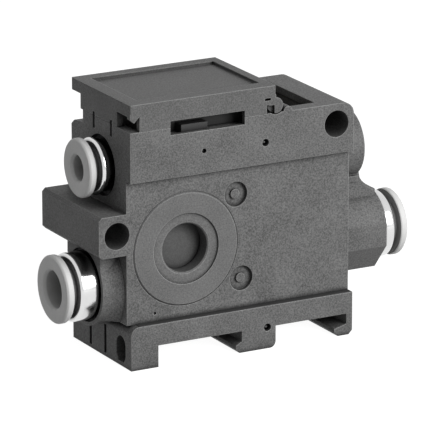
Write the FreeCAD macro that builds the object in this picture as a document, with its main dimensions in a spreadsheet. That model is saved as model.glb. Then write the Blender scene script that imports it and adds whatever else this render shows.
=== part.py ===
import FreeCAD, Part
import math
import os
import re
import Sketcher

Vector = FreeCAD.Vector
Rotation = FreeCAD.Rotation

# Rail-mounted directional control valve module.
# Frame: X runs along the module from left port to right port, Y is the stacking
# direction from front panel to back panel, Z is up from the soles of the feet.
# The origin lies at the middle of the block, on the plane of the feet.
doc = FreeCAD.newDocument("valve_module")

# Driving dimensions in millimetres. "From left" is measured from the left face of
# the block, "from front" from its front face, heights from the soles of the feet.
SIZES = [
    ("block_length", 41.2, "left face to right face of base and body"),
    ("block_depth", 20.6, "front face to back face, the pitch of a stack"),
    ("base_top", 7.28, "top of the rail base"),
    ("deck_height", 39.83, "top of the valve body"),
    ("cover_top", 44.39, "top of the lid"),
    ("panel_bottom_of_deck", 31.43, "lower edge of the deck, above the front panel"),
    ("panel_setback", 1.5, "front panel behind the front face"),
    ("nest_height", 1.1, "back panel in front of the next front panel"),
    ("joint_gap", 0.05, "gap between lid and body"),
    ("edge_round", 0.5, "rounding of moulded edges"),
    ("rail_recess", 3.66, "underside of the base above the soles"),
    ("left_foot_length", 4.95, "left foot, its inner face is the rail stop"),
    ("middle_throat", 20.38, "inner face of the middle hook, from left"),
    ("middle_foot_end", 26.7, "right face of the middle foot, from left"),
    ("middle_reach", 1.15, "reach of the middle hook under the rail"),
    ("right_throat", 40.1, "inner face of the right hook, from left"),
    ("right_reach", 2.35, "reach of the right hook under the rail"),
    ("hook_opening", 1.9, "top of the hooks at the throat"),
    ("hook_lip", 1.3, "top of the hooks at the tip"),
    ("hook_chamfer", 0.7, "chamfer under the hook tips"),
    ("foot_round", 1.1, "rounding of the middle foot"),
    ("foot_hole_place", 25.15, "blind hole in the middle foot, from left"),
    ("foot_hole_height", 3.6, "blind hole in the middle foot"),
    ("foot_hole_radius", 0.65, "blind hole in the middle foot"),
    ("foot_hole_depth", 2.5, "blind hole in the middle foot"),
    ("foot_slot_width", 3.2, "long round pocket in the left foot"),
    ("foot_slot_bottom", 0.7, "long round pocket in the left foot"),
    ("foot_slot_top", 5.1, "long round pocket in the left foot"),
    ("foot_slot_depth", 3.2, "long round pocket in the left foot"),
    ("foot_slot_place", 3.6, "middle of the long round pocket, from front"),
    ("foot_groove_width", 0.8, "upright grooves in the left foot"),
    ("foot_groove_depth", 0.6, "upright grooves in the left foot"),
    ("foot_groove_bottom", 0.6, "upright grooves in the left foot"),
    ("foot_groove_height", 5.53, "upright grooves in the left foot"),
    ("foot_groove_first", 8.7, "nearer groove, from front"),
    ("foot_groove_pitch", 5.2, "nearer groove to farther groove"),
    ("base_corner_round", 1.5, "rounded upper left corner of the base"),
    ("tie_hole_radius", 2.25, "clearance hole for an M4 tie rod"),
    ("upper_tie_place", 37.94, "upper tie rod, from left"),
    ("upper_tie_height", 36.43, "upper tie rod"),
    ("lower_tie_outset", 1.69, "lower tie rod left of the left face"),
    ("lower_tie_height", 22.63, "lower tie rod"),
    ("beam_outset", 4.95, "tie rod beam left of the left face"),
    ("beam_bottom", 19.13, "tie rod beam"),
    ("beam_top", 26.03, "tie rod beam"),
    ("beam_chamfer", 0.55, "tie rod beam"),
    ("gallery_place", 10.8, "supply gallery, from left"),
    ("gallery_height", 18.83, "supply gallery"),
    ("gallery_radius", 4.1, "hole of the gallery insert"),
    ("gallery_back_radius", 4.2, "gallery behind the blanking disc"),
    ("blank_radius", 4.4, "blanking disc and its seat"),
    ("insert_radius", 9.55, "gallery insert"),
    ("insert_thickness", 2.9, "gallery insert"),
    ("insert_gap", 0.05, "gallery insert in its seat, all round"),
    ("insert_proud", 0.2, "gallery insert in front of the panel"),
    ("insert_step_radius", 5.95, "sunk face round the gallery in the insert"),
    ("insert_step_depth", 0.35, "sunk face round the gallery in the insert"),
    ("insert_chamfer", 0.25, "edges of the gallery insert"),
    ("blank_depth", 3.2, "face of the blanking disc behind the face of the insert"),
    ("blank_thickness", 2.5, "blanking disc in the gallery"),
    ("insert_seal_radius", 7.4, "middle of the seal behind the insert"),
    ("insert_seal_section", 0.6, "half the section of the seal behind the insert"),
    ("back_seal_radius", 7.6, "middle of the gallery seal at the back"),
    ("back_seal_section", 0.9, "half the section of the gallery seal"),
    ("back_seal_proud", 0.75, "gallery seal standing out of its groove"),
    ("dimple_radius", 2.1, "locating dimples in the front panel"),
    ("dimple_depth", 0.7, "locating dimples in the front panel"),
    ("dimple_pip_radius", 0.8, "pip in each dimple"),
    ("dimple_pip_height", 0.4, "pip in each dimple"),
    ("upper_dimple_place", 20.05, "upper dimple, from left"),
    ("upper_dimple_height", 26.63, "upper dimple"),
    ("lower_dimple_place", 21.05, "lower dimple, from left"),
    ("lower_dimple_height", 12.28, "lower dimple"),
    ("locating_pin_gap", 0.15, "locating pins in the next dimples, all round"),
    ("locating_pin_height", 0.7, "locating pins on the back panel"),
    ("tool_hole_radius", 0.4, "small blind hole in the deck front"),
    ("tool_hole_place", 13.4, "small blind hole, from left"),
    ("tool_hole_height", 35.18, "small blind hole"),
    ("vent_hole_radius", 0.62, "chamfered hole in the deck front"),
    ("vent_hole_place", 24.7, "chamfered hole, from left"),
    ("vent_hole_height", 35.03, "chamfered hole"),
    ("mark_radius", 0.25, "pin mark in the front panel"),
    ("mark_place", 5.1, "pin mark, from left"),
    ("mark_height", 8.68, "pin mark"),
    ("mark_depth", 0.3, "pin mark"),
    ("small_hole_depth", 1.8, "both small holes in the deck front"),
    ("left_port_height", 12.36, "axis of the lower left port"),
    ("left_boss_radius", 6.7, "lower left port boss"),
    ("left_boss_length", 3.2, "lower left port boss, out of the left face"),
    ("neck_width", 11.7, "web between lower left boss and beam"),
    ("upper_port_height", 32.13, "axis of the upper left port"),
    ("upper_mouth_radius", 5.1, "mouth round the upper left sleeve"),
    ("right_port_height", 14.93, "axis of the right port"),
    ("right_boss_radius", 6.75, "round top of the right port boss"),
    ("right_boss_flat", 6.45, "half width across the side flats of the boss"),
    ("right_boss_rise", 2.0, "half height of the side flats of the boss"),
    ("right_boss_sole", 2.6, "half width of the bottom flat of the boss"),
    ("right_boss_drop", 6.6, "bottom flat of the boss below its axis"),
    ("right_boss_length", 8.8, "right port boss, out of the right face"),
    ("barrel_height", 29.93, "axis of the spool"),
    ("barrel_radius", 5.8, "pilot barrel on the right end"),
    ("barrel_length", 4.8, "pilot barrel, out of the right face"),
    ("barrel_round", 0.8, "rounding of the pilot barrel's end"),
    ("rib_height", 23.8, "underside of the rib below the barrel"),
    ("rib_thickness", 1.05, "rib below the barrel"),
    ("rib_width", 7, "rib below the barrel"),
    ("web_thickness", 3, "upright web between barrel and right boss"),
    ("web_round", 3.4, "hollow curve of the web's end"),
    ("deck_corner_round", 2.0, "upper right corner of the deck"),
    ("wall_thickness", 1.8, "left wall round the deck pocket"),
    ("front_wall", 2.4, "front and back walls round the deck pocket"),
    ("pocket_floor", 38.23, "floor of the deck pocket"),
    ("socket_floor", 34.93, "floor of the plug socket"),
    ("socket_start", 28.9, "plug socket, left face, from left"),
    ("socket_end", 35.1, "plug socket, right face, from left"),
    ("slot_start", 7.25, "front slot, from left"),
    ("slot_end", 20.85, "front slot, from left"),
    ("slot_bottom", 38.6, "front slot"),
    ("slot_top", 40.9, "front slot"),
    ("slot_wall", 0.9, "thin wall round the front slot"),
    ("slot_rim", 1.0, "thin wall beyond the ends of the front slot"),
    ("socket_undercut", 0.3, "hollow under the rim of the plug socket"),
    ("socket_rim", 1.2, "height of the rim of the plug socket"),
    ("latch_slit_width", 0.7, "slits beside the latch tongue"),
    ("latch_slit_depth", 2.1, "slits beside the latch tongue, in the body"),
    ("latch_slit_rise", 0.65, "slits beside the latch tongue, in the lid"),
    ("latch_slit_first", 6.3, "front slit, from front"),
    ("latch_slit_pitch", 6.0, "front slit to back slit"),
    ("grip_length", 6.0, "finger grip under the lid's back left corner"),
    ("grip_start", 16.5, "finger grip, from front"),
    ("grip_floor", 37.83, "finger grip"),
    ("cover_length", 26.6, "lid, from left face to its right face"),
    ("cover_plate", 2.0, "thickness of the lid's top"),
    ("cover_skirt", 1, "thickness of the lid's skirts"),
    ("cover_back_inset", 0.1, "lid's back face in front of the block's"),
    ("label_start", 2.5, "label recess, from left"),
    ("label_end", 25.0, "label recess, from left"),
    ("label_front", 2.7, "label recess, from front"),
    ("label_depth", 0.5, "label recess"),
    ("skirt_back_end", 17.3, "back end of the lid's left skirt, from front"),
    ("notch_length", 1.7, "notch under the lid's front left corner"),
    ("notch_width", 4.6, "notch, from front"),
    ("notch_tip", 0.7, "tip hanging into the notch"),
    ("hinge_place", 26.6, "hinge axis, from left"),
    ("hinge_height", 41.03, "hinge axis"),
    ("knuckle_radius", 1.3, "hinge knuckles of the lid"),
    ("lug_radius", 1.15, "hinge lugs of the body"),
    ("lug_width", 1.7, "hinge lugs of the body"),
    ("lug_gap", 0.2, "between knuckles and lugs"),
    ("knuckle_cap", 0.8, "closed outer end of the knuckles"),
    ("knuckle_mouth", 0.25, "open side of the knuckles, left of the axis"),
    ("knuckle_mouth_depth", 0.6, "open side of the knuckles"),
    ("hinge_slit_start", 2.05, "slit under the lid's top, left of the axis"),
    ("hinge_slit_end", 0.95, "slit under the lid's top, left of the axis"),
    ("hinge_slit_height", 0.4, "slit under the lid's top"),
    ("hinge_pin_radius", 0.6, "hinge pin"),
    ("running_gap", 0.05, "radial gap of running fits"),
    ("ring_gap", 0.15, "pressed release ring to sleeve, half of collet to seal"),
    ("hinge_relief", 0.2, "free space round the knuckles"),
    ("skirt_end", 24.9, "right end of the lid's skirts below the knuckle"),
    ("bump_place", 28.85, "bump right of the hinge, from left"),
    ("bump_radius", 0.8, "bump right of the hinge"),
    ("spool_bore_radius", 3.2, "bore of the spool"),
    ("spool_bore_start", 12.4, "left end of the spool bore, from left"),
    ("chamber_radius", 4.6, "pilot chamber"),
    ("spool_start", 18.0, "left end of the spool, from left"),
    ("spool_land", 3.2, "length of a spool land"),
    ("spool_neck_radius", 1.7, "spool between its lands"),
    ("spool_neck_length", 3.1, "spool between its lands"),
    ("spool_spigot_radius", 1.3, "spigot inside the return spring"),
    ("spool_spigot_length", 2.0, "spigot inside the return spring"),
    ("spool_seal_section", 0.5, "half the section of the spool seals"),
    ("spool_stroke", 1.5, "travel of the spool"),
    ("stop_gap", 0.1, "between moving pieces and their stops"),
    ("piston_thickness", 2.0, "pilot piston"),
    ("piston_seal_section", 0.5, "half the section of the piston seal"),
    ("end_cap_thickness", 1.5, "end cap of the pilot chamber"),
    ("end_cap_boss", 0.3, "stop boss inside the end cap"),
    ("end_cap_boss_radius", 1.8, "stop boss inside the end cap"),
    ("spring_wire", 0.3, "half the wire of the return spring"),
    ("spring_radius", 2.2, "mean radius of the return spring"),
    ("spring_turns", 5, "turns of the return spring"),
    ("passage_radius", 1.5, "air passages inside the body"),
    ("supply_place", 20.4, "supply passage, from left"),
    ("left_passage_place", 26.7, "passage to the lower left port, from left"),
    ("right_passage_place", 33.0, "passage to the right port, from left"),
    ("pilot_passage_place", 10.0, "passage from the upper left port to the pilot unit, from left"),
    ("pilot_passage_radius", 0.9, "passage from the upper left port to the pilot unit"),
    ("screw_radius", 1.0, "thread of the base screws"),
    ("screw_head_radius", 1.9, "head of the base screws"),
    ("screw_head_height", 1.1, "head of the base screws"),
    ("screw_length", 6.9, "base screws over all"),
    ("screw_first", 12.5, "left pair of base screws, from left"),
    ("screw_second", 31.0, "right pair of base screws, from left"),
    ("screw_offset", 4.2, "base screws from the middle of the depth"),
    ("screw_slot_width", 0.5, "slot in the screw heads"),
    ("screw_slot_depth", 0.5, "slot in the screw heads"),
    ("pilot_start", 4.2, "pilot unit, from left"),
    ("pilot_end", 23.6, "pilot unit, from left"),
    ("pilot_front", 3.4, "pilot unit, from front"),
    ("pilot_width", 13.4, "pilot unit"),
    ("pilot_top", 41.03, "top of the pilot unit"),
    ("pilot_step_start", 9.9, "contact block of the pilot unit, from left"),
    ("pilot_step_end", 14.7, "contact block of the pilot unit, from left"),
    ("pilot_step_height", 39.63, "top of the contact block"),
    ("pilot_step_width", 2.1, "contact block in front of the pilot unit"),
    ("coil_radius", 1.1, "coil rib on the pilot unit"),
    ("button_place", 7.4, "override button, from left"),
    ("button_offset", 0.0, "override button from the middle of the depth"),
    ("button_radius", 1.5, "override button"),
    ("button_proud", 0.9, "override button above the pilot unit"),
    ("button_travel", 0.7, "override button"),
    ("button_length", 2.4, "override button"),
    ("contact_width", 1.6, "contact pins in the plug socket"),
    ("contact_thickness", 0.6, "contact pins in the plug socket"),
    ("contact_height", 3.4, "contact pins above the socket floor"),
    ("contact_root", 1.0, "contact pins below the socket floor"),
    ("contact_pitch", 4.2, "contact pin to contact pin"),
    ("contact_place", 29.7, "contact pins, from left"),
]

# Push-in fittings: one set of sizes for 6 mm tube and one for 4 mm tube. Stations
# run inwards from the outer face of the release ring.
SIX = [
    ("six_tube_radius", 3.1, "hole for a 6 mm tube"),
    ("six_flange_radius", 5.65, "release ring flange"),
    ("six_flange_thickness", 1.3, "release ring flange"),
    ("six_stem_radius", 4.15, "hole of the sleeve round the collet's stem"),
    ("six_hub_end", 6.2, "inner end of the release ring's hub"),
    ("six_stem_end", 7.0, "inner end of the collet's straight stem"),
    ("six_travel", 0.9, "release ring travel"),
    ("six_sleeve_radius", 5.7, "sleeve outside the boss"),
    ("six_sleeve_visible", 4.2, "wide part of the sleeve"),
    ("six_seat_radius", 5.2, "sleeve inside the boss"),
    ("six_groove_radius", 6.1, "groove round the sleeve in the boss"),
    ("six_groove_depth", 0.65, "groove round the sleeve in the boss"),
    ("six_seat_length", 0.45, "narrow part of the sleeve"),
    ("six_collet_end", 10.4, "inner end of the collet"),
    ("six_collet_radius", 4.6, "collet"),
    ("sleeve_chamfer", 0.35, "outer edge of the sleeves"),
    ("hub_wall", 0.35, "wall of the release ring's hub"),
    ("collet_plate", 0.3, "collar of the collet behind the release ring"),
    ("collet_relief", 0.45, "hole of the collet round the tube"),
    ("collet_slope", 1.2, "sloping shoulder of the collet"),
    ("chuck_length", 0.9, "steel chuck at the inner end of the collet"),
    ("six_seal_length", 1.8, "tube seal"),
    ("six_seal_radius", 4.7, "tube seal"),
    ("six_stop", 14.3, "floor that the tube end meets"),
    ("six_left_face", 8.98, "lower left ring, out of the left face"),
    ("six_right_face", 13.45, "right ring, out of the right face"),
]
FOUR = [
    ("four_tube_radius", 2.1, "hole for a 4 mm tube"),
    ("four_flange_radius", 4.87, "release ring flange"),
    ("four_flange_thickness", 1.25, "release ring flange"),
    ("four_stem_radius", 3.05, "hole of the sleeve round the collet's stem"),
    ("four_hub_end", 5.6, "inner end of the release ring's hub"),
    ("four_stem_end", 6.4, "inner end of the collet's straight stem"),
    ("four_travel", 0.9, "release ring travel"),
    ("four_sleeve_radius", 4.75, "sleeve outside its seat"),
    ("four_sleeve_visible", 3.15, "wide part of the sleeve"),
    ("four_seat_radius", 4.2, "sleeve inside its seat"),
    ("four_groove_depth", 0.95, "mouth below the left face"),
    ("four_seat_length", 0.95, "narrow part of the sleeve"),
    ("four_collet_end", 8.8, "inner end of the collet"),
    ("four_collet_radius", 3.6, "collet"),
    ("four_seal_length", 1.6, "tube seal"),
    ("four_seal_radius", 3.7, "tube seal"),
    ("four_stop", 12.4, "floor that the tube end meets"),
    ("four_left_face", 4.37, "upper left ring, out of the left face"),
]

sizes = doc.addObject("Spreadsheet::Sheet", "sizes")
ALIASES = set()
size = {}
for row, (alias, number, meaning) in enumerate(SIZES + SIX + FOUR, start=1):
    sizes.set("A%d" % row, alias)
    sizes.set("B%d" % row, str(number))
    sizes.set("C%d" % row, meaning)
    sizes.setAlias("B%d" % row, alias)
    ALIASES.add(alias)
doc.recompute()
for alias in ALIASES:
    size[alias] = float(sizes.get(alias))

# Planes that many pieces share, written as formulas of the sheet's names.
LEFT = "(-block_length / 2)"
RIGHT = "(block_length / 2)"
FRONT = "(-block_depth / 2)"
BACK = "(block_depth / 2)"
PANEL = "(-block_depth / 2 + panel_setback)"
NEST = "(block_depth / 2 + nest_height)"
INSERT_FACE = "(-block_depth / 2 + panel_setback - insert_proud)"


LAND_COUNT = 4
SPOOL_LENGTH = "(spool_spigot_length + %d * spool_neck_length + %d * spool_land)" % (LAND_COUNT - 1, LAND_COUNT)


def from_left(text):
    """Formula of a place along X that is measured from the left face."""
    return "(-block_length / 2 + %s)" % text


def from_front(text):
    """Formula of a place along Y that is measured from the front face."""
    return "(-block_depth / 2 + %s)" % text


def sleeve_face(p):
    """Station of a fitting's sleeve, clear of the pressed release ring."""
    return "(%sflange_thickness + %stravel + ring_gap)" % (p, p)


def seal_face(p):
    """Station of a fitting's tube seal, clear of the pressed collet."""
    return "(%scollet_end + %stravel + 2 * ring_gap)" % (p, p)


def sheet_formula(text):
    """Point each alias in a formula at its cell of the sheet."""
    return re.sub(r"[a-z_]+", lambda word: "sizes." + word[0] if word[0] in ALIASES else word[0], text)


def bind(thing, **formulas):
    """Bind properties to formulas; place_x, place_y and place_z set the position."""
    places = {"place_x": "Placement.Base.x", "place_y": "Placement.Base.y", "place_z": "Placement.Base.z"}
    for name, text in formulas.items():
        thing.setExpression(places.get(name, name), sheet_formula(text))
    return thing


# Primitives and booleans.
TURNS = {
    "X": Rotation(Vector(0, 1, 0), 90),
    "Y": Rotation(Vector(1, 0, 0), -90),
    "Z": Rotation(),
}


def block(name, x_range, y_range, z_range):
    """A box between two formulas on each axis."""
    solid = doc.addObject("Part::Box", name)
    lows = [pair[0] for pair in (x_range, y_range, z_range)]
    spans = ["(%s) - (%s)" % (pair[1], pair[0]) for pair in (x_range, y_range, z_range)]
    bind(solid, Length=spans[0], Width=spans[1], Height=spans[2])
    return bind(solid, place_x=lows[0], place_y=lows[1], place_z=lows[2])


def rod(name, axis, radius, start, end, across):
    """A cylinder along X, Y or Z from start to end; across holds the other two places."""
    solid = doc.addObject("Part::Cylinder", name)
    solid.Placement = FreeCAD.Placement(Vector(0, 0, 0), TURNS[axis])
    bind(solid, Radius=radius, Height="(%s) - (%s)" % (end, start))
    places = list(across)
    places.insert("XYZ".index(axis), start)
    return bind(solid, place_x=places[0], place_y=places[1], place_z=places[2])


def fused(name, pieces):
    """One solid from several that meet."""
    result = doc.addObject("Part::MultiFuse", name)
    result.Shapes = pieces
    result.Refine = True
    return result


def grouped(name, pieces):
    """Separate solids kept together as one node."""
    result = doc.addObject("Part::Compound", name)
    result.Links = pieces
    return result


def cut(name, base, tool):
    """Base with the tool taken away."""
    result = doc.addObject("Part::Cut", name)
    result.Base = base
    result.Tool = tool
    result.Refine = True
    return result


# PartDesign bodies with constrained sketches.
def new_body(name):
    """An empty body whose label is the name of its piece."""
    body = doc.addObject("PartDesign::Body", name)
    body.Label = name
    return body


def origin_part(body, role):
    """A plane or an axis of the body's own origin."""
    return [part for part in body.Origin.OriginFeatures if part.Role == role][0]


def sketch_on(body, name, role, offset="0"):
    """A sketch on an origin plane, moved along the plane's normal by a formula."""
    sketch = body.newObject("Sketcher::SketchObject", name)
    sketch.AttachmentSupport = [(origin_part(body, role), "")]
    sketch.MapMode = "FlatFace"
    sketch.setExpression("AttachmentOffset.Base.z", sheet_formula(offset))
    return sketch


def hold(sketch, kind, geometry, point, text, start_value):
    """Dimension a sketch point from the sketch origin with a formula."""
    number = sketch.addConstraint(Sketcher.Constraint(kind, -1, 1, geometry, point, start_value))
    sketch.setExpression("Constraints[%d]" % number, sheet_formula(text))


def outline(sketch, corners, arc_radius=None):
    """A closed outline through the corners; the closing edge may be an arc."""
    count = len(corners)
    first = len(sketch.Geometry)
    turn = 2 * math.pi / count
    start = [Vector(math.cos(i * turn), math.sin(i * turn), 0) for i in range(count)]
    for i in range(count):
        if arc_radius and i == count - 1:
            circle = Part.Circle(Vector(0, 0, 0), Vector(0, 0, 1), 1)
            edge = Part.ArcOfCircle(circle, i * turn, 2 * math.pi)
        else:
            edge = Part.LineSegment(start[i], start[(i + 1) % count])
        sketch.addGeometry(edge, False)
    for i in range(count):
        after = first + (i + 1) % count
        sketch.addConstraint(Sketcher.Constraint("Coincident", first + i, 2, after, 1))
    for i, (across, up) in enumerate(corners):
        hold(sketch, "DistanceX", first + i, 1, across, start[i].x)
        hold(sketch, "DistanceY", first + i, 1, up, start[i].y)
    if arc_radius:
        number = sketch.addConstraint(Sketcher.Constraint("Radius", first + count - 1, 1.0))
        sketch.setExpression("Constraints[%d]" % number, sheet_formula(arc_radius))


def ring(sketch, across, up, radius):
    """A circle held by its centre and radius."""
    number = sketch.addGeometry(Part.Circle(Vector(0.5, 0.5, 0), Vector(0, 0, 1), 1), False)
    hold(sketch, "DistanceX", number, 3, across, 0.5)
    hold(sketch, "DistanceY", number, 3, up, 0.5)
    held = sketch.addConstraint(Sketcher.Constraint("Radius", number, 1.0))
    sketch.setExpression("Constraints[%d]" % held, sheet_formula(radius))


def grow(body, sketch, length, reverse=False):
    """Pad a sketch by a formula."""
    feature = body.newObject("PartDesign::Pad", sketch.Name + "_pad")
    feature.Profile = sketch
    feature.Reversed = reverse
    feature.Refine = False
    feature.setExpression("Length", sheet_formula(length))
    return feature


def sink(body, sketch, length, reverse=False):
    """Pocket a sketch by a formula."""
    feature = body.newObject("PartDesign::Pocket", sketch.Name + "_pocket")
    feature.Profile = sketch
    feature.Reversed = reverse
    feature.Refine = False
    feature.setExpression("Length", sheet_formula(length))
    return feature


def pad_along_y(body, name, y_from, y_to, corners, arc_radius=None):
    """A prism along Y over an outline in X and Z."""
    sketch = sketch_on(body, name, "XZ_Plane", "-(%s)" % y_from)
    outline(sketch, corners, arc_radius)
    grow(body, sketch, "(%s) - (%s)" % (y_to, y_from), True)


def pad_round_x(body, name, x_from, x_to, z, radius):
    """A round boss along X on the middle plane."""
    sketch = sketch_on(body, name, "YZ_Plane", x_from)
    ring(sketch, "0", z, radius)
    grow(body, sketch, "(%s) - (%s)" % (x_to, x_from))


def pad_round_y(body, name, y_from, y_to, x, z, radius):
    """A round boss along Y."""
    sketch = sketch_on(body, name, "XZ_Plane", "-(%s)" % y_from)
    ring(sketch, x, z, radius)
    grow(body, sketch, "(%s) - (%s)" % (y_to, y_from), True)


def drill_y(body, name, y_from, y_to, x, z, radius):
    """A round hole along Y."""
    sketch = sketch_on(body, name, "XZ_Plane", "-(%s)" % y_from)
    ring(sketch, x, z, radius)
    sink(body, sketch, "(%s) - (%s)" % (y_to, y_from))


def drill_x(body, name, x_from, x_to, z, radius):
    """A round hole along X on the middle plane."""
    sketch = sketch_on(body, name, "YZ_Plane", x_from)
    ring(sketch, "0", z, radius)
    sink(body, sketch, "(%s) - (%s)" % (x_to, x_from), True)


def drill_z(body, name, z_from, z_to, x, y, radius):
    """A round hole along Z, cut upwards from its lower end."""
    sketch = sketch_on(body, name, "XY_Plane", z_from)
    ring(sketch, x, y, radius)
    sink(body, sketch, "(%s) - (%s)" % (z_to, z_from), True)


def rectangle(x_range, z_range):
    """The four corners of an upright rectangle."""
    low, high = x_range
    bottom, top = z_range
    return [(low, bottom), (high, bottom), (high, top), (low, top)]


def slot_y(body, name, y_from, y_to, corners):
    """A prism along Y taken out of the body."""
    sketch = sketch_on(body, name, "XZ_Plane", "-(%s)" % y_from)
    outline(sketch, corners)
    sink(body, sketch, "(%s) - (%s)" % (y_to, y_from))


def slot_x(body, name, x_from, x_to, corners, arc_radius=None):
    """A prism along X taken out of the body."""
    sketch = sketch_on(body, name, "YZ_Plane", x_from)
    outline(sketch, corners, arc_radius)
    sink(body, sketch, "(%s) - (%s)" % (x_to, x_from), True)


def revolved(name, stations):
    """A turned piece about X from its (station, radius) outline."""
    body = new_body(name)
    sketch = sketch_on(body, name + "_section", "XY_Plane")
    outline(sketch, stations)
    turned = body.newObject("PartDesign::Revolution", name + "_turned")
    turned.Profile = sketch
    turned.ReferenceAxis = (origin_part(body, "X_Axis"), [""])
    turned.Angle = 360
    return body


def round_edges(body, places, direction, radius, feature="PartDesign::Fillet"):
    """Round or chamfer the straight edges along a direction that pass near places."""
    doc.recompute()
    names = []
    for number, edge in enumerate(body.Shape.Edges, start=1):
        if edge.Curve.TypeId != "Part::GeomLine":
            continue
        if abs(edge.Curve.Direction.dot(direction)) < 0.999:
            continue
        middle = edge.CenterOfMass
        for place in places:
            across = middle - place
            across = across - direction * across.dot(direction)
            if across.Length < 0.02:
                names.append("Edge%d" % number)
    rounded = body.Tip
    rounding = body.newObject(feature, body.Name + "_rounding")
    rounding.Base = (rounded, names)
    rounding.setExpression("Radius" if feature.endswith("Fillet") else "Size", sheet_formula(radius))
    doc.recompute()
    return rounding


ALONG_X = Vector(1, 0, 0)
ALONG_Y = Vector(0, 1, 0)
ALONG_Z = Vector(0, 0, 1)
half_length = size["block_length"] / 2
half_depth = size["block_depth"] / 2


# Rail base. Its three feet span a 35 mm rail between the left foot and the right
# hook, and a 15 mm rail between the left foot and the middle hook.
base = new_body("rail_base")
middle_tip = from_left("middle_throat - middle_reach")
right_tip = from_left("right_throat - right_reach")
pad_along_y(base, "base_outline", FRONT, BACK, [
    (LEFT, "0"),
    (from_left("left_foot_length"), "0"),
    (from_left("left_foot_length"), "rail_recess"),
    (from_left("middle_throat"), "rail_recess"),
    (from_left("middle_throat"), "hook_opening"),
    (middle_tip, "hook_lip"),
    (middle_tip, "hook_chamfer"),
    (middle_tip + " + hook_chamfer", "0"),
    (from_left("middle_foot_end"), "0"),
    (from_left("middle_foot_end"), "rail_recess"),
    (from_left("right_throat"), "rail_recess"),
    (from_left("right_throat"), "hook_opening"),
    (right_tip, "hook_lip"),
    (right_tip, "hook_chamfer"),
    (right_tip + " + hook_chamfer", "0"),
    (RIGHT + " - hook_chamfer", "0"),
    (RIGHT, "hook_chamfer"),
    (RIGHT, "base_top"),
    (LEFT, "base_top"),
])
foot_end = size["middle_foot_end"] - half_length
round_edges(base, [Vector(foot_end, 0, 0)], ALONG_Y, "foot_round")
round_edges(base, [Vector(-half_length, 0, size["base_top"])], ALONG_Y, "base_corner_round")
drill_y(base, "foot_hole", FRONT, FRONT + " + foot_hole_depth",
        from_left("foot_hole_place"), "foot_hole_height", "foot_hole_radius")
slot_middle = from_front("foot_slot_place")
slot_x(base, "foot_slot", LEFT, LEFT + " + foot_slot_depth", [
    (slot_middle + " - foot_slot_width / 2", "foot_slot_top - foot_slot_width / 2"),
    (slot_middle + " - foot_slot_width / 2", "foot_slot_bottom + 0.3 * foot_slot_width"),
    (slot_middle + " - 0.3 * foot_slot_width", "foot_slot_bottom"),
    (slot_middle + " + 0.3 * foot_slot_width", "foot_slot_bottom"),
    (slot_middle + " + foot_slot_width / 2", "foot_slot_bottom + 0.3 * foot_slot_width"),
    (slot_middle + " + foot_slot_width / 2", "foot_slot_top - foot_slot_width / 2"),
], "foot_slot_width / 2")
for number in range(2):
    groove = from_front("foot_groove_first + %d * foot_groove_pitch" % number)
    slot_x(base, "foot_groove_%d" % number, LEFT, LEFT + " + foot_groove_depth",
           rectangle((groove, groove + " + foot_groove_width"), ("foot_groove_bottom", "foot_groove_height")))
screw_places = []
for side, across in (("left", "screw_first"), ("right", "screw_second")):
    for end, sign in (("front", "-"), ("back", "")):
        screw_places.append((side + "_" + end, from_left(across), sign + "screw_offset"))
for name, x, y in screw_places:
    drill_z(base, "screw_shank_" + name, "rail_recess", "base_top", x, y, "screw_radius")
    drill_z(base, "screw_sink_" + name, "rail_recess", "rail_recess + screw_head_height",
            x, y, "screw_head_radius")

# Valve body. One moulding: the front panel set back between deck and base, the
# tie rod beam and port boss on the left, the port boss and pilot barrel on the
# right, and the deck pocket and plug socket on top.
body = new_body("valve_body")
pad_along_y(body, "panel_block", PANEL, NEST, rectangle((LEFT, RIGHT), ("base_top", "panel_bottom_of_deck")))
pad_along_y(body, "deck_block", FRONT, BACK,
            rectangle((LEFT, RIGHT), ("panel_bottom_of_deck", "deck_height")))
round_edges(body, [Vector(half_length, 0, size["deck_height"])], ALONG_Y, "deck_corner_round")
beam_left = from_left("0 - beam_outset")
pad_along_y(body, "tie_beam", PANEL, NEST, [
    (beam_left + " + beam_chamfer", "beam_bottom"),
    (LEFT + " + beam_chamfer", "beam_bottom"),
    (LEFT + " + beam_chamfer", "beam_top"),
    (beam_left + " + beam_chamfer", "beam_top"),
    (beam_left, "beam_top - beam_chamfer"),
    (beam_left, "beam_bottom + beam_chamfer"),
])
pad_round_x(body, "left_boss", LEFT + " - left_boss_length", LEFT, "left_port_height",
            "left_boss_radius")
neck = sketch_on(body, "boss_neck", "YZ_Plane", LEFT + " - left_boss_length")
outline(neck, rectangle(("-neck_width / 2", "neck_width / 2"),
                        ("left_port_height + left_boss_radius / 2", "beam_bottom + beam_chamfer")))
grow(body, neck, "left_boss_length + 1")
right_profile = sketch_on(body, "right_boss", "YZ_Plane", RIGHT + " - 1")
outline(right_profile, [
    ("-right_boss_flat", "right_port_height + right_boss_rise"),
    ("-right_boss_flat", "right_port_height - right_boss_rise"),
    ("-right_boss_sole", "right_port_height - right_boss_drop"),
    ("right_boss_sole", "right_port_height - right_boss_drop"),
    ("right_boss_flat", "right_port_height - right_boss_rise"),
    ("right_boss_flat", "right_port_height + right_boss_rise"),
], "right_boss_radius")
grow(body, right_profile, "right_boss_length + 1")
pad_round_x(body, "pilot_barrel", RIGHT + " - 1", RIGHT + " + barrel_length", "barrel_height", "barrel_radius")
pad_along_y(body, "barrel_rib", "-rib_width / 2", "rib_width / 2",
            rectangle((RIGHT + " - 1", RIGHT + " + barrel_length"), ("rib_height", "rib_height + rib_thickness")))
boss_crest = "right_port_height + 0.95 * right_boss_radius"
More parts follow.
